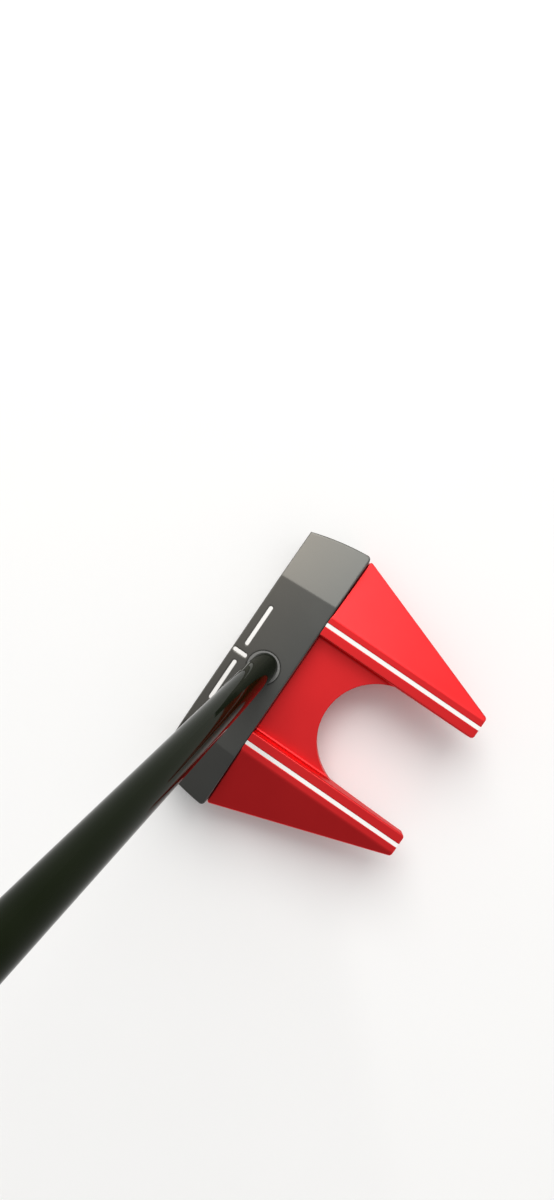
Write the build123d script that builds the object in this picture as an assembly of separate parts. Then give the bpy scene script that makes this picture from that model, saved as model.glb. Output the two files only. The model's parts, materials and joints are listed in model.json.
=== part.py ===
from build123d import *
from math import acos, atan2, cos, pi, radians, sin, tan
import os

# Mallet golf putter, right-handed. Millimetres.
# +X runs from heel to toe, +Y towards the target, +Z up from the ground.
# The origin is on the flat sole, under the middle of the black face bar.

# ---------------------------------------------------------------- face bar
bar_height = 25.0            # sole to top line
bar_depth = 22.6             # top line, front edge to rear edge
bar_half_length = 52.9       # along the rear edge
bar_end_taper = 4.7          # how much shorter each half is along the sole's front edge
bar_end_bow = 0.8            # how far each curved end bulges out of its chord
face_loft = 3.0              # degrees that the face leans back
facet_start_front = 30.2     # where the end facets begin, on the front edge
facet_start_rear = 31.3      # and on the rear edge
facet_angle = 9.8            # degrees that each end facet slopes down
sole_front_radius = 2.0      # leading edge
top_edge_break = 0.25        # small bevel round the top line and its facets
rear_corner_radius = 1.5     # upright corners of the bar
front_corner_radius = 0.8

# ---------------------------------------------------------------- face insert
insert_end_margin = 10.2     # face left at each end of the insert
insert_low_margin = 4.2      # face left under the insert
insert_high_margin = 4.3     # and above it
insert_corner_radius = 6.0
insert_thickness = 3.9
insert_side_clearance = 0.08
insert_bond_thickness = 0.3
insert_groove_pitch = 1.1
insert_groove_width = 0.45
insert_groove_depth = 0.25
insert_groove_margin = 1.6   # plain rim above and below the grooves

# ---------------------------------------------------------------- wing body
joint_gap = 0.08             # shadow line between the bar and the wing body
channel_half_width = 20.4    # inner walls of the two wings
rail_width = 7.6             # flat top of each wing
rail_front_drop = 0.1        # rail top below the bar's top line, at the bar
rail_tip_drop = 2.2          # and at the tip
wing_end_inset = 0.2         # each wing's front corner inside the bar's end
wing_tip_width = 8.7         # width of one wing's tip
wing_length = 63.9           # bar's rear edge to the tips
wing_shoulder_height = 14.5  # top of the outer wall, at the bar
wing_shoulder_radius = 0.9   # upright round where the outer wall meets the bar
wing_tip_radius = 1.2        # upright rounds of the tip
wing_edge_break = 0.35       # small bevel along the rails and facets
floor_height = 15.3          # floor between the wings, above the ground
floor_foot_radius = 1.0      # round between the floor and the inner walls
cradle_radius = 21.15        # round bite in the floor, about a golf ball's size
cradle_centre = 38.3         # its centre behind the bar's rear edge
sole_flat_length = 10.5      # flat sole behind the bar, before the underside lifts
wing_tip_thickness = 6.4     # each wing at its tip, along its inner wall
sole_lift_bow = 3.2          # how far the lifted underside bulges over its chord
sole_edge_break = 0.8        # bevel along the sole's outer edges

# ---------------------------------------------------------------- tongue and its screws
tongue_port_wall = 4.5       # bar left between the tongue and each weight's port
tongue_depth = 12.4          # how far it runs under the bar
tongue_height = 6.0
tongue_clearance = 0.1
screw_side_margin = 5.0      # screws from the tongue's sides
screw_row_spacing = 6.2      # front row to rear row
screw_radius = 1.25
screw_head_radius = 2.4
screw_length = 12.0
screw_head_sink = 0.2        # head below the sole
screw_socket_across = 1.6
screw_socket_depth = 1.0
screw_thread_clearance = 0.05
screw_hole_clearance = 0.2
screw_tip_room = 1.0

# ---------------------------------------------------------------- sole weights
weight_end_margin = 12.9     # its middle from the bar's end
weight_setback = 1.0         # behind the origin
weight_flange_lip = 1.2      # flange wider than the thread
weight_flange_height = 2.4
weight_sink = 0.2            # flange below the sole
weight_thread_radius = 6.2
weight_thread_length = 9.0
weight_thread_pitch = 1.25
weight_thread_depth = 0.35
weight_socket_across = 5.0
weight_socket_depth = 3.6
weight_flange_clearance = 0.1
weight_thread_clearance = 0.05
weight_end_room = 0.8
washer_thickness = 0.6
washer_bore_clearance = 0.1

# ---------------------------------------------------------------- shaft
lie = 70.0                   # degrees between the shaft and the ground
club_length = 864.0          # along the shaft, ground to the top of the grip cap
shaft_setback = 1.7          # shaft axis behind the origin, at the top line
shaft_tip_radius = 4.95
shaft_butt_radius = 7.35
shaft_wall = 0.55
shaft_step_count = 12
shaft_butt_run = 45.0        # last step below the grip
shaft_step_pitch = 28.0
shaft_step_length = 1.5
socket_floor = 2.2           # metal between the socket and the tongue
socket_bevel = 0.9           # round the socket's mouth
bond_thickness = 0.15
bond_sink = 0.12             # bond below the top line
tip_plug_length = 9.0
tip_plug_clearance = 0.05

# ---------------------------------------------------------------- grip
grip_length = 267.0          # mouth ring to the top of the cap
grip_tape_thickness = 0.25
grip_skin_thickness = 1.4
grip_cap_height = 6.0
grip_cap_plug_length = 9.0
grip_cap_plug_clearance = 0.1
grip_cap_edge_radius = 1.6
grip_vent_radius = 1.25
grip_ring_height = 7.0
grip_ring_wall = 1.3
# Share of the sleeve's length, then what the grip adds round the tape: front wall, side wall,
# front corner radius, back round, back wall. The front is flat and the back swells to a pistol.
grip_stations = (
    (0.00, 2.3, 2.2, 4.2, 2.6, 3.4),
    (0.25, 2.6, 3.0, 4.5, 3.2, 5.0),
    (0.50, 2.9, 4.1, 4.9, 4.0, 7.0),
    (0.75, 3.2, 5.2, 5.3, 4.8, 10.4),
    (0.90, 3.3, 5.7, 5.5, 5.2, 12.9),
    (1.00, 3.3, 5.7, 5.5, 5.2, 12.0),
)

# ---------------------------------------------------------------- painted lines
mark_width = 1.4
mark_setback = 3.6           # side lines behind the top line's front edge
mark_inner_end = 3.2         # side lines' ends from the middle
mark_outer_end = 19.3
tick_front_gap = 0.5         # centre tick from the front edge
tick_rear_gap = 0.9          # and from the shaft socket's mouth
rail_line_inset = 4.3        # middle of each wing's line from the wing's inner wall
rail_line_width = 1.5
groove_depth = 0.3
paint_thickness = 0.25

# ---------------------------------------------------------------- worked out
big = 300.0                                           # larger than the head, for cutting tools
over = 1.0                                            # how far a cutting tool runs past a face
near = 0.01                                           # tolerance when an edge is picked by height
bar_front = bar_depth / 2                             # front edge of the top line
bar_rear = -bar_depth / 2
bar_front_half = bar_half_length - bar_end_taper
sole_front = bar_front + bar_height * tan(radians(face_loft))
face_height = bar_height / cos(radians(face_loft))    # measured up the face
insert_height = face_height - insert_low_margin - insert_high_margin
insert_half_width = bar_front_half - insert_end_margin
wing_front = bar_rear - joint_gap
wing_tip = bar_rear - wing_length
wing_front_half = bar_half_length - wing_end_inset
rail_outer = channel_half_width + rail_width
wing_tip_half = channel_half_width + wing_tip_width
rail_front_height = bar_height - rail_front_drop
rail_fall = (rail_tip_drop - rail_front_drop) / (wing_front - wing_tip)
rail_line_place = channel_half_width + rail_line_inset
wing_facet_slope = (rail_front_height - wing_shoulder_height) / (wing_front_half - rail_outer)
wing_tip_shoulder = bar_height - rail_tip_drop - wing_facet_slope * (wing_tip_half - rail_outer)
wing_facet_low = min(wing_shoulder_height, wing_tip_shoulder) - over
cradle_y = bar_rear - cradle_centre
tongue_front = bar_rear + tongue_depth
weight_place = bar_half_length - weight_end_margin    # either side of the middle
weight_y = -weight_setback
weight_flange_radius = weight_thread_radius + weight_flange_lip
washer_low = weight_sink + weight_flange_height
washer_high = washer_low + washer_thickness
port_thread_radius = weight_thread_radius + weight_thread_clearance
port_flange_radius = weight_flange_radius + weight_flange_clearance
port_top = washer_low + weight_thread_length + weight_end_room
tongue_half_width = weight_place - port_flange_radius - tongue_port_wall
screw_x = tongue_half_width - screw_side_margin
screw_front = (bar_rear + tongue_front + screw_row_spacing) / 2
screw_rear = screw_front - screw_row_spacing
screws = {
    "heel_front_screw": (-screw_x, screw_front),
    "heel_rear_screw": (-screw_x, screw_rear),
    "toe_front_screw": (screw_x, screw_front),
    "toe_rear_screw": (screw_x, screw_rear),
}
socket_radius = shaft_tip_radius + bond_thickness
socket_rim_radius = socket_radius + socket_bevel
socket_low = tongue_height + socket_floor + socket_radius * cos(radians(lie))
socket_depth = (bar_height - socket_low) / sin(radians(lie))
shaft_along = Vector(-cos(radians(lie)), 0, sin(radians(lie)))
shaft_front = Vector(sin(radians(lie)), 0, cos(radians(lie)))
shaft_plane = Plane(
    origin=(0, -shaft_setback, bar_height), x_dir=shaft_front, z_dir=shaft_along
)                                                     # its z runs up the shaft from the top line
top_of_cap = club_length - bar_height / sin(radians(lie))
grip_low = top_of_cap - grip_length
cap_low = top_of_cap - grip_cap_height
sleeve_low = grip_low + grip_ring_height
tape_radius = shaft_butt_radius + grip_tape_thickness
shaft_steps_run = (shaft_step_count - 1) * shaft_step_pitch + shaft_step_length
shaft_first_step = grip_low - shaft_butt_run - shaft_steps_run


def above(point, normal):
    """Everything above a plane, as a large block."""
    plane = Plane(origin=point, z_dir=normal)
    return plane * Box(big, big, big, align=(Align.CENTER, Align.CENTER, Align.MIN))


def both_sides(shape):
    """A toe-side shape and its mirror image on the heel side."""
    return shape + mirror(shape, about=Plane.YZ)


def rod(radius, low, high, place=(0, 0)):
    """An upright cylinder between two heights."""
    return Pos(place[0], place[1], low) * Cylinder(
        radius, high - low, align=(Align.CENTER, Align.CENTER, Align.MIN)
    )


def shaft_rod(radius, low, high):
    """A cylinder on the shaft's axis, between two distances from the top line."""
    return shaft_plane * rod(radius, low, high)


# ================================================================ face bar
face_normal = Vector(0, cos(radians(face_loft)), sin(radians(face_loft)))
face_plane = Plane(
    origin=(0, (bar_front + sole_front) / 2, bar_height / 2),
    x_dir=(-1, 0, 0),
    z_dir=face_normal,
)                                                     # its y runs up the face
insert_middle = (insert_low_margin - insert_high_margin) / 2


def bar_blank():
    """The bar's plan outline and its lofted side profile, crossed."""
    rear = (bar_half_length, bar_rear)
    front = (bar_front_half, sole_front)
    middle = ((rear[0] + front[0]) / 2 + bar_end_bow, (rear[1] + front[1]) / 2)
    toe_end = ThreePointArc(rear, middle, front)
    heel_end = ThreePointArc(
        (-front[0], front[1]), (-middle[0], middle[1]), (-rear[0], rear[1])
    )
    outline = make_face(
        toe_end
        + Line(front, (-front[0], front[1]))
        + heel_end
        + Line((-rear[0], rear[1]), rear)
    )
    outline = fillet(outline.vertices().group_by(Axis.Y)[0], rear_corner_radius)
    outline = fillet(outline.vertices().group_by(Axis.Y)[-1], front_corner_radius)
    plan = extrude(outline, bar_height)
    side = Plane.YZ * make_face(
        Polyline(
            (bar_rear, 0), (sole_front, 0), (bar_front, bar_height), (bar_rear, bar_height),
            close=True,
        )
    )
    side = fillet(side.vertices().sort_by(Axis.Y)[-1], sole_front_radius)
    return plan & extrude(side, 2 * bar_half_length, both=True)


def bar_facets():
    """What the two sloping ends of the top line take off."""
    run = Vector(facet_start_rear - facet_start_front, -bar_depth, 0).normalized()
    out = Vector(-run.Y, run.X, 0)
    normal = Vector(0, 0, 1) * cos(radians(facet_angle)) + out * sin(radians(facet_angle))
    return both_sides(above((facet_start_front, bar_front, bar_height), normal))


def shaft_socket():
    """Bore for the shaft, with an upright bevel round its mouth."""
    bore = shaft_rod(socket_radius, -socket_depth, socket_rim_radius)
    mouth_radius = socket_radius - socket_bevel
    mouth = Pos(0, -shaft_setback, bar_height - socket_bevel) * Cone(
        mouth_radius, socket_rim_radius, socket_rim_radius - mouth_radius
    )
    return bore + mouth


def weight_port():
    """Stepped hole in the sole for one weight."""
    place = (weight_place, weight_y)
    return rod(port_flange_radius, -over, washer_high, place) + rod(
        port_thread_radius, 0, port_top, place
    )


def screw_holes(radius, low, high):
    """One hole for each screw in the tongue."""
    return [rod(radius, low, high, place) for place in screws.values()]


def top_line_sketches():
    """The three marks on the top line: a toe line, a centre tick and a heel line."""
    side_length = mark_outer_end - mark_inner_end
    side_middle = (mark_outer_end + mark_inner_end) / 2
    side_y = bar_front - mark_setback
    tick_front = bar_front - tick_front_gap
    tick_rear = socket_rim_radius - shaft_setback + tick_rear_gap
    tick_y = (tick_front + tick_rear) / 2
    tick_length = tick_front - tick_rear
    return {
        "toe": Pos(side_middle, side_y) * SlotOverall(side_length, mark_width),
        "centre": Pos(0, tick_y) * Rot(0, 0, 90) * SlotOverall(tick_length, mark_width),
        "heel": Pos(-side_middle, side_y) * SlotOverall(side_length, mark_width),
    }


def insert_outline(grow):
    """The insert's outline on the face, with a clearance all round."""
    return face_plane * Pos(0, insert_middle) * RectangleRounded(
        2 * (insert_half_width + grow),
        insert_height + 2 * grow,
        insert_corner_radius + grow,
    )


def break_top_edges(bar):
    """Bevels the rim of the top line and its facets, but not the creases between them."""
    tops = [face for face in bar.faces() if face.normal_at().Z > 0.9]
    edges = ShapeList(edge for face in tops for edge in face.edges())
    rim = [edge for edge in edges if sum(edge.is_same(other) for other in edges) == 1]
    return chamfer(rim, top_edge_break)


def make_face_bar():
    bar = break_top_edges(bar_blank() - bar_facets())
    pocket = extrude(
        insert_outline(insert_side_clearance),
        amount=-(insert_thickness + insert_bond_thickness),
    )
    rebate = Pos(0, bar_rear + tongue_depth / 2, tongue_height / 2) * Box(
        2 * tongue_half_width, tongue_depth, tongue_height
    )
    bar -= pocket
    bar -= rebate
    bar -= shaft_socket()
    bar -= both_sides(weight_port())
    bar -= screw_holes(
        screw_radius + screw_thread_clearance, 0, screw_head_sink + screw_length + screw_tip_room
    )
    for mark in top_line_sketches().values():
        bar -= Pos(0, 0, bar_height) * extrude(mark, -groove_depth)
    return bar


# ================================================================ face insert
def make_face_insert():
    insert = extrude(insert_outline(0), amount=-insert_thickness)
    usable = insert_height - 2 * insert_groove_margin
    count = int(usable / insert_groove_pitch) + 1
    first = insert_middle - (count - 1) * insert_groove_pitch / 2
    groove = Box(2 * insert_half_width + over, insert_groove_width, 2 * insert_groove_depth)
    for i in range(count):
        insert -= face_plane * Pos(0, first + i * insert_groove_pitch) * groove
    return insert


def make_insert_bond():
    deep = face_plane.offset(-insert_thickness)
    outline = deep * Pos(0, insert_middle) * RectangleRounded(
        2 * insert_half_width, insert_height, insert_corner_radius
    )
    return extrude(outline, amount=-insert_bond_thickness)


# ================================================================ wing body
rail_point = (0, wing_front, rail_front_height)
rail_normal = Vector(0, -rail_fall, 1).normalized()
facet_point = (rail_outer, wing_front, rail_front_height)
facet_normal = Vector(wing_facet_slope, -rail_fall, 1).normalized()


def toe_wing():
    """The toe-side wing: an upright wedge, cut by its rail and its facet."""
    outline = make_face(
        Polyline(
            (channel_half_width, wing_front),
            (wing_front_half, wing_front),
            (wing_tip_half, wing_tip),
            (channel_half_width, wing_tip),
            close=True,
        )
    )
    corners = outline.vertices().sort_by(Axis.X)
    outline = fillet(corners[-1], wing_shoulder_radius)
    outline = fillet(outline.vertices().sort_by(Axis.Y)[:2], wing_tip_radius)
    wing = extrude(outline, bar_height)
    wing -= above(rail_point, rail_normal)
    wing -= above(facet_point, facet_normal)
    outer = wing.edges().filter_by_position(Axis.Z, -0.01, 0.01)
    return chamfer(outer.sort_by(Axis.X)[-1], sole_edge_break)


def wing_floor():
    """Floor of the channel, with the round bite at its rear."""
    floor = Pos(0, (wing_front + cradle_y) / 2, floor_height / 2) * Box(
        2 * channel_half_width, wing_front - cradle_y, floor_height
    )
    return floor - rod(cradle_radius, -over, floor_height + over, (0, cradle_y))


def under_lift():
    """What the curved underside takes off, from the flat sole to the wings' tips."""
    start = Vector(bar_rear - sole_flat_length, 0)
    end = Vector(wing_tip, bar_height - rail_tip_drop - wing_tip_thickness)
    chord = end - start
    bulge = Vector(chord.Y, -chord.X).normalized() * sole_lift_bow
    section = make_face(
        ThreePointArc(start, (start + end) / 2 + bulge, end)
        + Polyline(end, (end.X - over, end.Y), (end.X - over, -over), (start.X, -over), start)
    )
    return extrude(Plane.YZ * section, big, both=True)


def wing_tongue():
    """Tongue that runs forward under the bar."""
    front = tongue_front - tongue_clearance
    width = 2 * (tongue_half_width - tongue_clearance)
    return Pos(0, (front + wing_front) / 2, tongue_height / 2) * Box(
        width, front - wing_front, tongue_height
    )


def rail_line(low, high):
    """A strip along the toe wing's rail, between two heights from the rail's top."""
    run = wing_front - wing_tip
    strip = Pos(0, -run / 2, (low + high) / 2) * Box(rail_line_width, run + 2 * over, high - low)
    plane = Plane(
        origin=(rail_line_place, wing_front, rail_front_height),
        x_dir=(1, 0, 0),
        z_dir=rail_normal,
    )
    return plane * strip


def screw_head(place):
    """The cone of one screw's head, which is also its seat in the tongue."""
    rise = screw_head_radius - screw_radius
    return Pos(place[0], place[1], screw_head_sink + rise / 2) * Cone(
        screw_head_radius, screw_radius, rise
    )


def make_wing_body():
    body = both_sides(toe_wing()) + wing_floor()
    foot = body.edges().filter_by(Axis.Y).filter_by_position(
        Axis.Z, floor_height - near, floor_height + near
    )
    body = fillet(foot, floor_foot_radius)
    rail_edges = [
        edge
        for edge in body.edges().filter_by_position(Axis.Z, wing_facet_low, bar_height)
        if abs(edge.end_point().Y - edge.start_point().Y) > wing_length / 2
    ]
    body = chamfer(rail_edges, wing_edge_break) - under_lift()
    body += wing_tongue()
    body -= both_sides(rail_line(-groove_depth, over))
    body -= screw_holes(screw_radius + screw_hole_clearance, -over, tongue_height + over)
    for place in screws.values():
        body -= rod(screw_head_radius, -over, screw_head_sink, place)
        body -= screw_head(place)
    return body


# ================================================================ fasteners and weights
def countersunk_screw(place):
    """One screw, head down: its cone head, shank and hexagon socket."""
    shank_low = screw_head_sink + screw_head_radius - screw_radius
    shank = rod(screw_radius, shank_low, screw_head_sink + screw_length, place)
    socket = hexagon_socket(screw_socket_across, screw_socket_depth, place, screw_head_sink)
    return screw_head(place) + shank - socket


def hexagon_socket(across, depth, place, low):
    """A hexagon key's hole, going up from a height."""
    outline = RegularPolygon(across / 2, 6, major_radius=False)
    return Pos(place[0], place[1], low) * extrude(outline, depth)


def make_weight(side):
    """A threaded weight, head down. Rings stand in for its thread."""
    place = (side * weight_place, weight_y)
    top = washer_low + weight_thread_length
    flange = rod(weight_flange_radius, weight_sink, washer_low, place)
    flange = chamfer(flange.edges().group_by(Axis.Z)[0], wing_edge_break)
    weight = flange + rod(weight_thread_radius, washer_low, top, place)
    ring_count = int(weight_thread_length / weight_thread_pitch) - 1
    neck = weight_thread_radius - weight_thread_depth
    for i in range(ring_count):
        z = washer_high + (i + 0.5) * weight_thread_pitch
        ring = rod(weight_thread_radius + over, z, z + weight_thread_pitch / 2, place)
        weight -= ring - rod(neck, z, z + weight_thread_pitch / 2, place)
    return weight - hexagon_socket(weight_socket_across, weight_socket_depth, place, weight_sink)


def make_washer(side):
    place = (side * weight_place, weight_y)
    ring = rod(weight_flange_radius - weight_flange_clearance, washer_low, washer_high, place)
    return ring - rod(weight_thread_radius + washer_bore_clearance, 0, washer_high + over, place)


# ================================================================ shaft
def shaft_profile():
    """Outside of the stepped shaft as (radius, distance from the top line) points."""
    rise = (shaft_butt_radius - shaft_tip_radius) / shaft_step_count
    points = [(shaft_tip_radius, -socket_depth)]
    for i in range(shaft_step_count):
        s = shaft_first_step + i * shaft_step_pitch
        radius = shaft_tip_radius + i * rise
        points += [(radius, s), (radius + rise, s + shaft_step_length)]
    points.append((shaft_butt_radius, cap_low))
    return points


def revolved(points):
    """A solid of revolution about the shaft's axis from (radius, distance) points."""
    section = make_face(Polyline(*[(r, 0, s) for r, s in points], close=True))
    return shaft_plane * revolve(section, Axis.Z)


def make_shaft():
    outside = shaft_profile()
    inside = [(r - shaft_wall, s) for r, s in reversed(outside)]
    return revolved(outside + inside)


def make_shaft_bond():
    """Glue between the shaft and its socket, filling the mouth's bevel to near the top."""
    glue = shaft_socket() - above((0, 0, bar_height - bond_sink), (0, 0, 1))
    return glue - shaft_rod(shaft_tip_radius, -socket_depth - over, socket_rim_radius)


def make_tip_plug():
    radius = shaft_tip_radius - shaft_wall - tip_plug_clearance
    return shaft_rod(radius, -socket_depth, -socket_depth + tip_plug_length)


# ================================================================ grip
def station_outline(station, inset):
    """The grip's outline at one station: a flat front, two front corners and a round back."""
    front_wall, side_wall, corner, back_round, back_wall = station[1:]
    back = tape_radius + back_round
    front = Vector(tape_radius + front_wall - corner, tape_radius + side_wall - corner)
    rear = Vector(back - tape_radius - back_wall, 0)
    across = rear - front
    turn = atan2(across.Y, across.X) + 2 * pi
    tangent = turn - acos((corner - back) / across.length)
    corner_radius = corner - inset
    back_radius = back - inset

    def corner_point(angle):
        return (front.X + corner_radius * cos(angle), front.Y + corner_radius * sin(angle))

    def back_point(angle):
        return (rear.X + back_radius * cos(angle), back_radius * sin(angle))

    upper = [
        ThreePointArc(corner_point(0), corner_point(tangent / 2), corner_point(tangent)),
        Line(corner_point(tangent), back_point(tangent)),
        ThreePointArc(back_point(tangent), back_point((tangent + pi) / 2), back_point(pi)),
    ]
    lower = [mirror(edge, about=Plane.XZ) for edge in upper]
    flat_x, flat_y = corner_point(0)
    return make_face([Line((flat_x, -flat_y), (flat_x, flat_y))] + upper + lower)


def grip_form(inset):
    """The grip's sleeve, from the mouth ring to the cap, taken in by inset."""
    run = cap_low - sleeve_low
    sections = [
        shaft_plane * Pos(0, 0, sleeve_low + station[0] * run) * station_outline(station, inset)
        for station in grip_stations
    ]
    return loft(sections)


def make_grip_cap():
    """Cap that closes the butt, with a plug in the shaft and a vent."""
    outline = station_outline(grip_stations[-1], 0)
    cap = shaft_plane * Pos(0, 0, cap_low) * extrude(outline, grip_cap_height)
    far = cap.faces().sort_by(Axis(shaft_plane.origin, shaft_plane.z_dir))[-1]
    cap = fillet(far.edges(), grip_cap_edge_radius)
    plug_radius = shaft_butt_radius - shaft_wall - grip_cap_plug_clearance
    cap += shaft_rod(plug_radius, cap_low - grip_cap_plug_length, cap_low)
    vent_low = cap_low - grip_cap_plug_length - over
    return cap - shaft_rod(grip_vent_radius, vent_low, top_of_cap + over)


def make_grip_ring():
    """Tapered ring at the grip's mouth."""
    small = shaft_plane * Pos(0, 0, grip_low) * Circle(shaft_butt_radius + grip_ring_wall)
    large = shaft_plane * Pos(0, 0, sleeve_low) * station_outline(grip_stations[0], 0)
    ring = loft([small, large])
    return ring - shaft_rod(tape_radius, grip_low - over, sleeve_low + over)


# ================================================================ painted lines
def top_paint(mark):
    return Pos(0, 0, bar_height - groove_depth) * extrude(mark, paint_thickness)


def rail_paint():
    strip = rail_line(-groove_depth, paint_thickness - groove_depth)
    inside = Pos(0, (wing_front + wing_tip) / 2, 0) * Box(big, wing_front - wing_tip, big)
    return strip & inside


# ================================================================ the pieces
def make_all():
    marks = top_line_sketches()
    grip_bore = shaft_rod(tape_radius, grip_low - over, top_of_cap + over)
    core_form = grip_form(grip_skin_thickness)
    paint = rail_paint()
    return {
        "face_bar": make_face_bar(),
        "face_insert": make_face_insert(),
        "insert_bond": make_insert_bond(),
        "wing_body": make_wing_body(),
        **{name: countersunk_screw(place) for name, place in screws.items()},
        "heel_weight": make_weight(-1),
        "toe_weight": make_weight(1),
        "heel_weight_washer": make_washer(-1),
        "toe_weight_washer": make_washer(1),
        "shaft": make_shaft(),
        "shaft_bond": make_shaft_bond(),
        "tip_plug": make_tip_plug(),
        "grip_tape": shaft_rod(tape_radius, grip_low, cap_low)
        - shaft_rod(shaft_butt_radius, grip_low - over, cap_low + over),
        "grip_core": core_form - grip_bore,
        "grip_skin": grip_form(0) - core_form,
        "grip_cap": make_grip_cap(),
        "grip_ring": make_grip_ring(),
        "toe_top_mark": top_paint(marks["toe"]),
        "centre_top_mark": top_paint(marks["centre"]),
        "heel_top_mark": top_paint(marks["heel"]),
        "toe_wing_line": paint,
        "heel_wing_line": mirror(paint, about=Plane.YZ),
    }


os.makedirs("parts", exist_ok=True)
for name, piece in make_all().items():
    export_step(piece, f"parts/{name}.step")
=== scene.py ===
import json
import math

import bpy
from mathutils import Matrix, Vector
from mathutils.bvhtree import BVHTree


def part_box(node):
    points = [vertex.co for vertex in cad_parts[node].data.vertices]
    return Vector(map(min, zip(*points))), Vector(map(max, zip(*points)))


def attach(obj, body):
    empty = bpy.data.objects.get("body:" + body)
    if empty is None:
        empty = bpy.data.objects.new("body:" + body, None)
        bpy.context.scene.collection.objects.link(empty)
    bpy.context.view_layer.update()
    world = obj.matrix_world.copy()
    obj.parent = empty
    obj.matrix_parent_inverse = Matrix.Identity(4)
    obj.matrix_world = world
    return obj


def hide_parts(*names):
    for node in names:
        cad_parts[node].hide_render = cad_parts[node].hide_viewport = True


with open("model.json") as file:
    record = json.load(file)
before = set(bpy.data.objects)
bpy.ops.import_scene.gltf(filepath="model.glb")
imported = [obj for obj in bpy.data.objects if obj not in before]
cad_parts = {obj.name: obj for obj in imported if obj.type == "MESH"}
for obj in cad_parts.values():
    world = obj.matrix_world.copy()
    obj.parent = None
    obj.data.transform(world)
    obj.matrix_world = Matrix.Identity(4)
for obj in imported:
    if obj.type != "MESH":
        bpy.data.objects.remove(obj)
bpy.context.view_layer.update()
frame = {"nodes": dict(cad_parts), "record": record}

# Looks of a mallet putter. Metres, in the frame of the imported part:
# +X from heel to toe, +Y towards the target, +Z up from the ground.
MM = 0.001


# ================================================================ shader writing
class Value:
    """What one socket puts out. Arithmetic on it adds Math nodes."""

    def __init__(self, shader, socket):
        self.shader = shader
        self.socket = socket

    def __add__(self, other):
        return self.shader.math("ADD", self, other)

    def __sub__(self, other):
        return self.shader.math("SUBTRACT", self, other)

    def __rsub__(self, other):
        return self.shader.math("SUBTRACT", other, self)

    def __mul__(self, other):
        return self.shader.math("MULTIPLY", self, other)

    def __pow__(self, other):
        return self.shader.math("POWER", self, other)

    __radd__ = __add__
    __rmul__ = __mul__


class Shader:
    """One node tree, and the ways to add to it."""

    def __init__(self, owner):
        owner.use_nodes = True
        self.owner = owner
        self.nodes = owner.node_tree.nodes
        self.links = owner.node_tree.links

    def node(self, kind, settings, inputs, output=0):
        """Adds any node: its settings first, then a value or a link for each socket."""
        made = self.nodes.new("ShaderNode" + kind)
        for name, value in settings.items():
            if name == "stops":
                self.set_stops(made.color_ramp.elements, value)
            else:
                setattr(made, name, value)
        for name, value in inputs.items():
            self.feed(made.inputs[name], value)
        return Value(self, made.outputs[output])

    def set_stops(self, elements, stops):
        """Gives a new ramp its (place, grey) stops."""
        while len(elements) < len(stops):
            elements.new(1.0)
        for element, (place, grey) in zip(elements, stops):
            element.position = place
            element.color = (grey, grey, grey, 1.0)

    def feed(self, socket, value):
        if isinstance(value, Value):
            self.links.new(value.socket, socket)
        else:
            socket.default_value = value

    def math(self, operation, a, b=0.0):
        return self.node("Math", {"operation": operation}, {0: a, 1: b})

    def vector(self, operation, a, b, output=0):
        return self.node("VectorMath", {"operation": operation}, {0: a, 1: b}, output)

    def mix(self, share, a, b):
        """Colour a where share is 0, colour b where it is 1."""
        return self.node("Mix", {"data_type": "RGBA"}, {0: share, 6: a, 7: b}, 2)

    def clear(self, share):
        """Holds a value between 0 and 1."""
        return self.node("Clamp", {}, {"Value": share})

    def place(self):
        """The point on the object, in millimetres in the part's frame."""
        point = self.node("TexCoord", {}, {}, "Object")
        return self.vector("MULTIPLY", point, (1 / MM, 1 / MM, 1 / MM))

    def along(self, way):
        """How far the point lies along a direction, in millimetres."""
        return self.vector("DOT_PRODUCT", self.place(), way, "Value")

    def grain(self, size, detail=2.0, stretch=(1, 1, 1)):
        """Noise from 0 to 1 whose grains are about size millimetres, drawn out along each axis."""
        point = self.vector("DIVIDE", self.place(), stretch)
        return self.node("TexNoise", {}, {"Vector": point, "Scale": 1 / size, "Detail": detail})

    def spots(self, size, low, high):
        """Patches of grain that pass a level: 0 below low, 1 above high."""
        stops = ((low, 0.0), (high, 1.0))
        return self.node("ValToRGB", {"stops": stops}, {"Fac": self.grain(size, 3.0)})

    def rings(self, centre, pitch):
        """Turned rings round an upright axis, from 0 to 1."""
        from_axis = self.vector("SUBTRACT", self.place(), centre)
        flat = self.vector("MULTIPLY", from_axis, (1, 1, 0))
        radius = self.vector("LENGTH", flat, (0, 0, 0), "Value")
        return self.math("SINE", radius * (2 * math.pi / pitch)) * 0.5 + 0.5

    def soft_normal(self, radius):
        """The surface's normal with its edges rounded by radius millimetres."""
        return self.node("Bevel", {"samples": 8}, {"Radius": radius * MM})

    def edge(self, soft, sharpness):
        """1 along edges, 0 on open faces."""
        normal = self.node("NewGeometry", {}, {}, "Normal")
        likeness = self.vector("DOT_PRODUCT", soft, normal, "Value")
        return self.clear((1 - likeness) * sharpness)

    def bump(self, height, depth, normal=None):
        """A normal for a height from 0 to 1 that is depth millimetres deep."""
        inputs = {"Strength": 1.0, "Distance": depth * MM, "Height": height}
        if normal:
            inputs["Normal"] = normal
        return self.node("Bump", {}, inputs)


def new_finish(name):
    """A new material's shader."""
    return Shader(bpy.data.materials.new(name))


def principled(shader, **inputs):
    """Sets or links the surface's sockets, given with _ for a space, and returns the material."""
    surface = shader.nodes["Principled BSDF"]
    for name, value in inputs.items():
        shader.feed(surface.inputs[name.replace("_", " ")], value)
    return shader.owner


def colour(red, green, blue):
    return (red, green, blue, 1.0)


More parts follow.
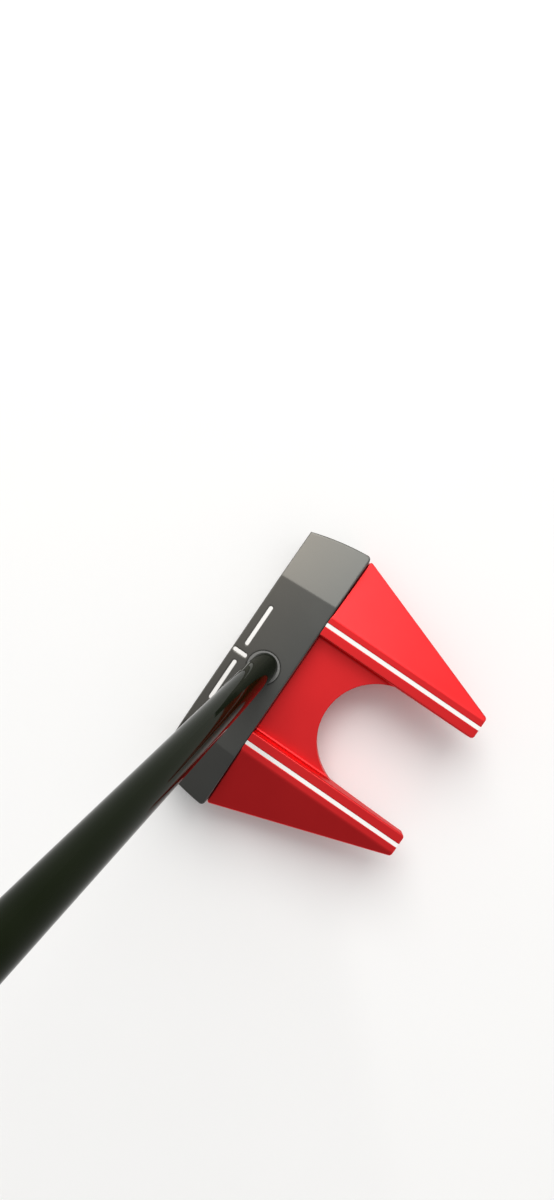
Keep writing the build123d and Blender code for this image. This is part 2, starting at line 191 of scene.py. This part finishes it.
# ================================================================ the head's finishes
def black_bar_finish():
    """Blasted steel under a thin black coat, paler and warmer towards the front; its edges are paler,
    partly rubbed wear and partly painted highlight, most on the front edges.
    """
    shader = new_finish("bar_black")
    soft = shader.soft_normal(0.9)
    edge = shader.edge(shader.soft_normal(0.4), 14.0)
    blast = shader.grain(0.16)
    cloud = shader.grain(14.0, 3.0)
    low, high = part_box("face_bar")
    from_rear = shader.along((0, 1, 0)) - low[1] / MM
    front = shader.clear(from_rear * (MM / (high[1] - low[1])))
    coat = shader.mix(cloud, colour(0.082, 0.084, 0.080), colour(0.104, 0.106, 0.100))
    warm = shader.mix(front, coat, colour(0.112, 0.106, 0.094))
    speckled = shader.mix(blast * 0.25, warm, colour(0.15, 0.148, 0.14))
    # Paler edges: partly rubbed wear, partly painted edge highlight, strongest towards the front.
    wear_and_edge_highlight = edge * (0.08 + front ** 2.0 * 0.60) * (0.6 + shader.grain(1.8, 3.0) * 0.8)
    return principled(
        shader,
        Base_Color=shader.mix(shader.clear(wear_and_edge_highlight), speckled, colour(0.48, 0.47, 0.44)),
        Metallic=1.0,
        Roughness=0.31 + cloud * 0.05 + blast * 0.05,
        Normal=shader.bump(blast, 0.004, soft),
    )


def red_body_finish():
    """Red anodised aluminium: a satin metal with a fine blasted grain and thin paler edges, partly rubbed
    wear and partly painted highlight.
    """
    shader = new_finish("body_red")
    soft = shader.soft_normal(0.35)
    edge = shader.edge(soft, 5.0)
    blast = shader.grain(0.14)
    cloud = shader.grain(18.0, 3.0)
    dye = shader.mix(cloud, colour(0.74, 0.019, 0.022), colour(0.82, 0.026, 0.028))
    grained = shader.mix(blast * 0.3, dye, colour(0.64, 0.014, 0.018))
    # Paler edges: partly rubbed wear, partly painted edge highlight.
    wear_and_edge_highlight = edge * (0.3 + shader.grain(2.2, 3.0) * 0.45)
    return principled(
        shader,
        Base_Color=shader.mix(shader.clear(wear_and_edge_highlight), grained, colour(0.92, 0.20, 0.18)),
        Metallic=0.88,
        Roughness=0.30 + cloud * 0.05 + blast * 0.05,
        Specular_Tint=colour(0.90, 0.16, 0.16),
        Coat_Weight=0.20,
        Coat_Roughness=0.3,
        Normal=shader.bump(blast, 0.0035, soft),
    )


def white_paint_finish():
    """White enamel laid into a shallow groove, a little domed, with a faint orange peel."""
    shader = new_finish("white_paint")
    soft = shader.soft_normal(0.2)
    peel = shader.grain(0.7)
    stain = shader.spots(2.6, 0.55, 0.80)
    return principled(
        shader,
        Base_Color=shader.mix(stain * 0.35, colour(0.94, 0.925, 0.90), colour(0.84, 0.80, 0.75)),
        Roughness=0.38 + peel * 0.12,
        Normal=shader.bump(peel, 0.008, soft),
    )


def insert_finish():
    """Grey steel brushed from heel to toe."""
    shader = new_finish("insert_metal")
    soft = shader.soft_normal(0.08)
    brush = shader.grain(0.12, 3.0, (60, 1, 1))
    cloud = shader.grain(9.0, 3.0)
    metal = shader.mix(brush, colour(0.44, 0.43, 0.42), colour(0.60, 0.59, 0.57))
    return principled(
        shader,
        Base_Color=shader.mix(cloud * 0.25, metal, colour(0.38, 0.37, 0.36)),
        Metallic=1.0,
        Roughness=0.26 + brush * 0.14 + cloud * 0.06,
        Normal=shader.bump(brush, 0.006, soft),
    )


def turned_steel_finish(name, node, pitch, dark, bright):
    """Steel turned on a lathe: fine rings round the node's own axis."""
    low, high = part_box(node)
    centre = (low + high) / (2 * MM)
    shader = new_finish(name)
    soft = shader.soft_normal(0.12)
    rings = shader.rings(tuple(centre), pitch)
    cloud = shader.grain(3.0, 3.0)
    metal = shader.mix(rings * 0.5 + cloud * 0.4, dark, bright)
    return principled(
        shader,
        # Pale edges: painted edge highlight.
        Base_Color=shader.mix(shader.edge(soft, 4.0) * 0.5, metal, colour(0.75, 0.74, 0.71)),
        Metallic=1.0,
        Roughness=0.22 + cloud * 0.12 + rings * 0.06,
        Normal=shader.bump(rings, 0.006, soft),
    )


def nylon_finish():
    """Milky nylon with a dull moulded skin."""
    shader = new_finish("washer_nylon")
    skin = shader.grain(0.35)
    tone = shader.mix(shader.grain(4.0), colour(0.74, 0.72, 0.66), colour(0.82, 0.80, 0.75))
    return principled(
        shader,
        Base_Color=tone,
        Roughness=0.42 + skin * 0.12,
        Subsurface_Weight=0.15,
        Subsurface_Scale=0.4 * MM,
        Normal=shader.bump(skin, 0.01, shader.soft_normal(0.1)),
    )


def glue_finish():
    """Smoky grey epoxy with small bubbles."""
    shader = new_finish("glue")
    bubbles = shader.spots(0.5, 0.62, 0.72)
    tone = shader.mix(shader.grain(2.5), colour(0.16, 0.16, 0.155), colour(0.22, 0.22, 0.21))
    return principled(
        shader,
        Base_Color=shader.mix(bubbles * 0.5, tone, colour(0.34, 0.335, 0.32)),
        Roughness=0.3 + bubbles * 0.2,
        Normal=shader.bump(bubbles, 0.02),
    )


# ================================================================ the shaft's and the grip's finishes
def gloss_shaft_finish():
    """Deep gloss black lacquer on a polished steel tube, with faint rubbed hairlines; its green cast, in
    the colour and in the tint of its reflections, is a painted reflection of green surroundings.
    """
    shader = new_finish("shaft_black")
    peel = shader.grain(5.0, 1.0)
    hairlines = shader.spots(0.5, 0.60, 0.75)
    smudge = shader.spots(16.0, 0.48, 0.72)
    # Smudged tone of the lacquer, with a green cast that is a painted reflection of green surroundings.
    lacquer_and_painted_green_reflection = shader.mix(smudge * 0.5, colour(0.0025, 0.0045, 0.0012), colour(0.005, 0.007, 0.003))
    return principled(
        shader,
        Base_Color=lacquer_and_painted_green_reflection,
        Roughness=0.045 + smudge * 0.03 + hairlines * 0.02,
        Specular_IOR_Level=0.075,
        # Green-tinted reflections: painted reflection of green surroundings.
        Specular_Tint=colour(0.80, 1.0, 0.50),
        Normal=shader.bump(peel, 0.004),
    )


def plug_finish():
    """Black moulded plastic."""
    shader = new_finish("plug_plastic")
    skin = shader.grain(0.3)
    tone = shader.mix(shader.grain(3.0), colour(0.022, 0.022, 0.023), colour(0.038, 0.038, 0.040))
    return principled(
        shader,
        Base_Color=tone,
        Roughness=0.42 + skin * 0.15,
        Normal=shader.bump(skin, 0.012, shader.soft_normal(0.2)),
    )


def tape_finish():
    """Creped paper tape, its wrinkles across the shaft."""
    shader = new_finish("tape_paper")
    crepe = shader.grain(0.6, 4.0, (1, 5, 1))
    tone = shader.mix(crepe, colour(0.60, 0.52, 0.36), colour(0.78, 0.71, 0.54))
    return principled(
        shader,
        Base_Color=shader.mix(shader.grain(6.0) * 0.4, tone, colour(0.66, 0.57, 0.40)),
        Roughness=0.75 + crepe * 0.15,
        Normal=shader.bump(crepe, 0.05),
    )


def foam_finish():
    """Closed-cell foam."""
    shader = new_finish("grip_foam")
    cells = shader.node("TexVoronoi", {}, {"Vector": shader.place(), "Scale": 1 / 0.7})
    tone = shader.mix(cells, colour(0.030, 0.030, 0.032), colour(0.065, 0.065, 0.068))
    return principled(
        shader,
        Base_Color=tone,
        Roughness=0.82 + shader.grain(1.5) * 0.1,
        Normal=shader.bump(cells, 0.06),
    )


def rubber_finish():
    """Soft black rubber with a fine leathery grain and a dull bloom."""
    shader = new_finish("grip_rubber")
    soft = shader.soft_normal(0.12)
    pores = shader.node("TexVoronoi", {}, {"Vector": shader.place(), "Scale": 1 / 0.45})
    fine = shader.grain(0.18)
    bloom = shader.spots(11.0, 0.45, 0.75)
    tone = shader.mix(bloom * 0.6, colour(0.017, 0.017, 0.018), colour(0.034, 0.034, 0.035))
    return principled(
        shader,
        # Lighter grey along the edges: painted edge highlight on the lozenges.
        Base_Color=shader.mix(shader.edge(soft, 5.0) * 0.7, tone, colour(0.075, 0.075, 0.076)),
        Roughness=0.50 + bloom * 0.1 + fine * 0.1,
        Normal=shader.bump(pores * 0.6 + fine * 0.4, 0.035, soft),
    )


SCREW_RINGS = 0.22           # pitch of the rings on turned steel, in millimetres
SCREW_DARK = colour(0.10, 0.10, 0.10)
SCREW_BRIGHT = colour(0.20, 0.20, 0.195)
WEIGHT_RINGS = 0.35
WEIGHT_DARK = colour(0.42, 0.415, 0.40)
WEIGHT_BRIGHT = colour(0.58, 0.57, 0.55)


def finish_node(name, material):
    """Gives a carried-over node its finish."""
    node = frame["nodes"][name]
    if not node.material_slots:
        node.data.materials.append(material)
    for slot in node.material_slots:
        slot.material = material


def finish_all_nodes():
    """Each slot of the record has one finish, and turned steel one for each piece."""
    finishes = {
        "bar_black": black_bar_finish(),
        "body_red": red_body_finish(),
        "insert_metal": insert_finish(),
        "glue": glue_finish(),
        "washer_nylon": nylon_finish(),
        "shaft_black": gloss_shaft_finish(),
        "plug_plastic": plug_finish(),
        "tape_paper": tape_finish(),
        "grip_foam": foam_finish(),
        "grip_rubber": rubber_finish(),
        "white_paint": white_paint_finish(),
    }
    nodes_of = {
        "bar_black": ("face_bar",),
        "body_red": ("wing_body",),
        "insert_metal": ("face_insert",),
        "glue": ("insert_bond", "shaft_bond"),
        "washer_nylon": ("heel_weight_washer", "toe_weight_washer"),
        "shaft_black": ("shaft",),
        "plug_plastic": ("tip_plug",),
        "tape_paper": ("grip_tape",),
        "grip_foam": ("grip_core",),
        "grip_rubber": ("grip_skin", "grip_cap", "grip_ring"),
        "white_paint": (
            "toe_top_mark", "centre_top_mark", "heel_top_mark", "toe_wing_line", "heel_wing_line",
        ),
    }
    for slot, names in nodes_of.items():
        for name in names:
            finish_node(name, finishes[slot])
    for side in ("heel", "toe"):
        for row in ("front", "rear"):
            name = f"{side}_{row}_screw"
            steel = turned_steel_finish(f"steel_{name}", name, SCREW_RINGS, SCREW_DARK, SCREW_BRIGHT)
            finish_node(name, steel)
        name = f"{side}_weight"
        steel = turned_steel_finish(f"steel_{name}", name, WEIGHT_RINGS, WEIGHT_DARK, WEIGHT_BRIGHT)
        finish_node(name, steel)
    return finishes


# ================================================================ the grip's skin
LOZENGES_AROUND = 26         # raised lozenges in one turn of the grip
LOZENGE_LENGTH = 4.4 * MM
LOZENGE_DEPTH = 0.55 * MM
GROOVE_HALF_SHARE = 0.22     # half the groove round a lozenge, as a share of the lozenge's width
PLAIN_END = 7.0 * MM         # plain band at each end of the pattern
PLAIN_FADE = 1.5 * MM
FRONT_STRIP = 0.085          # half the plain front strip, as a share of the way round
FRONT_GROOVE_PITCH = 7.5 * MM
FRONT_GROOVE_HALF = 1.1 * MM  # half the width of a groove across the strip
SAMPLES_PER_LOZENGE = 6
INNER_ROW_STEP = 12          # the smooth inner wall has one ring of points for this many outer ones
STRIP_BLEND = 0.012          # where the strip turns into lozenges, as a share of the way round
STRIP_BORDER = 0.008         # half the fine groove along the strip's edge, as a share of the way round
END_INSET = 0.02 * MM        # rays start this far inside the skin's ends
GRIP_REACH = 40 * MM         # rays start this far from the axis, outside the skin


def step_up(low, high, x):
    """0 below low, 1 above high, and smooth between them."""
    t = min(1.0, max(0.0, (x - low) / (high - low)))
    return t * t * (3 - 2 * t)


def groove_depth_at(around, along, length):
    """How far the skin is cut in: around is a share of a turn from the front, along is from the mouth."""
    from_end = min(along, length - along)
    field = step_up(PLAIN_END, PLAIN_END + PLAIN_FADE, from_end)
    from_front = min(around, 1 - around)
    side = step_up(FRONT_STRIP, FRONT_STRIP + STRIP_BLEND, from_front)
    u = around * LOZENGES_AROUND
    v = along / LOZENGE_LENGTH
    to_line = min(abs((u + v) % 1 - 0.5), abs((u - v) % 1 - 0.5))
    lozenge = 1 - step_up(0.0, GROOVE_HALF_SHARE, to_line)
    from_groove = abs(along % FRONT_GROOVE_PITCH - FRONT_GROOVE_PITCH / 2)
    front = 1 - step_up(0.0, FRONT_GROOVE_HALF, from_groove)
    border = 1 - step_up(0.0, STRIP_BORDER, abs(from_front - FRONT_STRIP))
    cut = max(side * lozenge, (1 - side) * front * (1 - border), border)
    return LOZENGE_DEPTH * field * cut


def surface_distance(tree, origin, direction, from_outside):
    """How far a node's surface lies from the axis, on its outside or its inside."""
    start = origin + direction * GRIP_REACH if from_outside else origin
    way = -direction if from_outside else direction
    hit = tree.ray_cast(start, way, GRIP_REACH)
    return (hit[0] - origin).length


def wall_faces(first, rows, turns, outward):
    """Faces of one wall of the skin, whose rings of points start at first."""
    faces = []
    for row in range(rows):
        a = first + row * turns
        b = a + turns
        for i in range(turns):
            k = (i + 1) % turns
            face = (a + i, a + k, b + k, b + i)
            faces.append(face if outward else face[::-1])
    return faces


def rim_faces(outer, inner, turns, upward):
    """Faces that join a ring of the outer wall to one of the inner wall."""
    faces = []
    for i in range(turns):
        k = (i + 1) % turns
        face = (outer + i, outer + k, inner + k, inner + i)
        faces.append(face if upward else face[::-1])
    return faces


def make_grip_skin(finish):
    """The skin with its lozenges and front grooves cut in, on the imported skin's own shape."""
    node = frame["nodes"]["grip_skin"]
    hold = next(m for m in frame["record"]["mounts"] if m["name"] == "grip_hold")
    axis = Vector(hold["axis"]).normalized()
    base = Vector(hold["pos_m"])
    side = Vector((0, 1, 0))
    front = side.cross(axis).normalized()
    spans = [(v.co - base).dot(axis) for v in node.data.vertices]
    low, high = min(spans) + END_INSET, max(spans) - END_INSET
    tree = BVHTree.FromObject(node, bpy.context.evaluated_depsgraph_get())
    turns = LOZENGES_AROUND * SAMPLES_PER_LOZENGE
    inner_rows = round((high - low) / LOZENGE_LENGTH * SAMPLES_PER_LOZENGE / INNER_ROW_STEP)
    rows = inner_rows * INNER_ROW_STEP
    points = []
    for from_outside, row_step in ((True, 1), (False, INNER_ROW_STEP)):
        for j in range(0, rows + 1, row_step):
            along = (high - low) * j / rows
            middle = base + axis * (low + along)
            for i in range(turns):
                angle = 2 * math.pi * i / turns
                way = front * math.cos(angle) + side * math.sin(angle)
                distance = surface_distance(tree, middle, way, from_outside)
                if from_outside:
                    distance -= groove_depth_at(i / turns, along, high - low)
                points.append(middle + way * distance)
    inner = (rows + 1) * turns
    faces = wall_faces(0, rows, turns, True) + wall_faces(inner, inner_rows, turns, False)
    faces += rim_faces(0, inner, turns, False)
    faces += rim_faces(rows * turns, inner + inner_rows * turns, turns, True)
    mesh = bpy.data.meshes.new("grip_skin_cut")
    mesh.from_pydata(points, [], faces)
    mesh.polygons.foreach_set("use_smooth", [True] * len(mesh.polygons))
    mesh.materials.append(finish)
    mesh.update()
    skin = bpy.data.objects.new("grip_skin_cut", mesh)
    bpy.context.scene.collection.objects.link(skin)
    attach(skin, "club")
    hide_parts("grip_skin")
    return skin


# ================================================================ floor, light and camera
FLOOR_HALF = 60.0            # half the square floor's side
FLOOR_DROP = 0.05 * MM       # floor below the sole

# The room's light is the sum of these. Each is given for the direction where it is strongest.
ROOM_BASE_LIGHT = 0.24       # the same from everywhere
ROOM_TOE_LIGHT = 0.32        # none at the heel, all of it at the toe
ROOM_TOP_LIGHT = 0.60
ROOM_TOP_WAY = (0.42, 0.12, 0.90)
ROOM_TOP_FALLOFF = 4.0
ROOM_HORIZON_LIGHT = 0.20
ROOM_HORIZON_FALLOFF = 8.0

SOFTBOX_WAY = (0.60, 0.30, 0.75)
SOFTBOX_DISTANCE = 2.4
SOFTBOX_SIZE = (2.1, 1.9)
SOFTBOX_RADIANCE = 3.6
SOFTBOX_TINT = (1.0, 0.985, 0.96)

CAMERA_PLACE = Vector((14.501, -21.027, 293.488)) * MM
CAMERA_TURN = (-0.473, 4.046, -55.597)   # degrees about X, Y and Z, from looking straight down
CAMERA_LENS = 23.278
CAMERA_SHIFT = (-0.0007, 0.0592)


def pale_floor_finish():
    shader = new_finish("pale_floor")
    tooth = shader.grain(0.8, 3.0)
    return principled(
        shader,
        Base_Color=shader.mix(shader.grain(60.0), colour(0.93, 0.93, 0.927), colour(0.95, 0.95, 0.947)),
        Roughness=0.75 + tooth * 0.1,
        Specular_IOR_Level=0.2,
        Normal=shader.bump(tooth, 0.01),
    )


def make_floor():
    """A wide pale floor just under the sole."""
    half = FLOOR_HALF
    outline = ((-half, -half), (half, -half), (half, half), (-half, half))
    corners = [(x, y, -FLOOR_DROP) for x, y in outline]
    mesh = bpy.data.meshes.new("floor")
    mesh.from_pydata(corners, [], [(0, 1, 2, 3)])
    mesh.materials.append(pale_floor_finish())
    floor = bpy.data.objects.new("floor", mesh)
    bpy.context.scene.collection.objects.link(floor)


def make_room():
    """Soft room light: brightest overhead, dim on the heel side."""
    world = bpy.data.worlds.new("room")
    bpy.context.scene.world = world
    shader = Shader(world)
    way = shader.node("TexCoord", {}, {}, "Generated")
    up = shader.vector("DOT_PRODUCT", way, ROOM_TOP_WAY, "Value")
    height = shader.vector("DOT_PRODUCT", way, (0, 0, 1), "Value")
    overhead = shader.clear(up) ** ROOM_TOP_FALLOFF
    horizon = (1 - shader.clear(height)) ** ROOM_HORIZON_FALLOFF
    toe_side = shader.vector("DOT_PRODUCT", way, (0.5, 0, 0), "Value") + 0.5
    light = ROOM_BASE_LIGHT + toe_side * ROOM_TOE_LIGHT
    light += overhead * ROOM_TOP_LIGHT + horizon * ROOM_HORIZON_LIGHT
    ground = shader.nodes["Background"]
    shader.feed(ground.inputs["Color"], shader.mix(shader.clear(light), (0, 0, 0, 1), (1, 1, 1, 1)))
    ground.inputs["Strength"].default_value = 1.0


def make_lamp(name, way, distance, size, radiance, tint):
    """A soft box seen from the head in the direction way, with a given brightness."""
    lamp = bpy.data.lights.new(name, "AREA")
    lamp.shape = "RECTANGLE"
    lamp.size, lamp.size_y = size
    lamp.energy = radiance * math.pi * size[0] * size[1]
    lamp.color = tint
    box = bpy.data.objects.new(name, lamp)
    back = Vector(way).normalized()
    box.location = back * distance
    box.rotation_mode = "QUATERNION"
    box.rotation_quaternion = back.to_track_quat("Z", "Y")
    bpy.context.scene.collection.objects.link(box)


def make_camera():
    """Looks down on the head from beside the shaft."""
    lens = bpy.data.cameras.new("camera")
    lens.sensor_width = 36.0
    lens.lens = CAMERA_LENS
    lens.shift_x, lens.shift_y = CAMERA_SHIFT
    lens.clip_start = 5 * MM
    camera = bpy.data.objects.new("camera", lens)
    camera.location = CAMERA_PLACE
    camera.rotation_euler = [math.radians(angle) for angle in CAMERA_TURN]
    bpy.context.scene.collection.objects.link(camera)
    bpy.context.scene.camera = camera


finishes = finish_all_nodes()
make_grip_skin(finishes["grip_rubber"])
make_floor()
make_room()
make_lamp("toe_softbox", SOFTBOX_WAY, SOFTBOX_DISTANCE, SOFTBOX_SIZE, SOFTBOX_RADIANCE, SOFTBOX_TINT)
make_camera()
bpy.context.scene.view_settings.view_transform = "Standard"
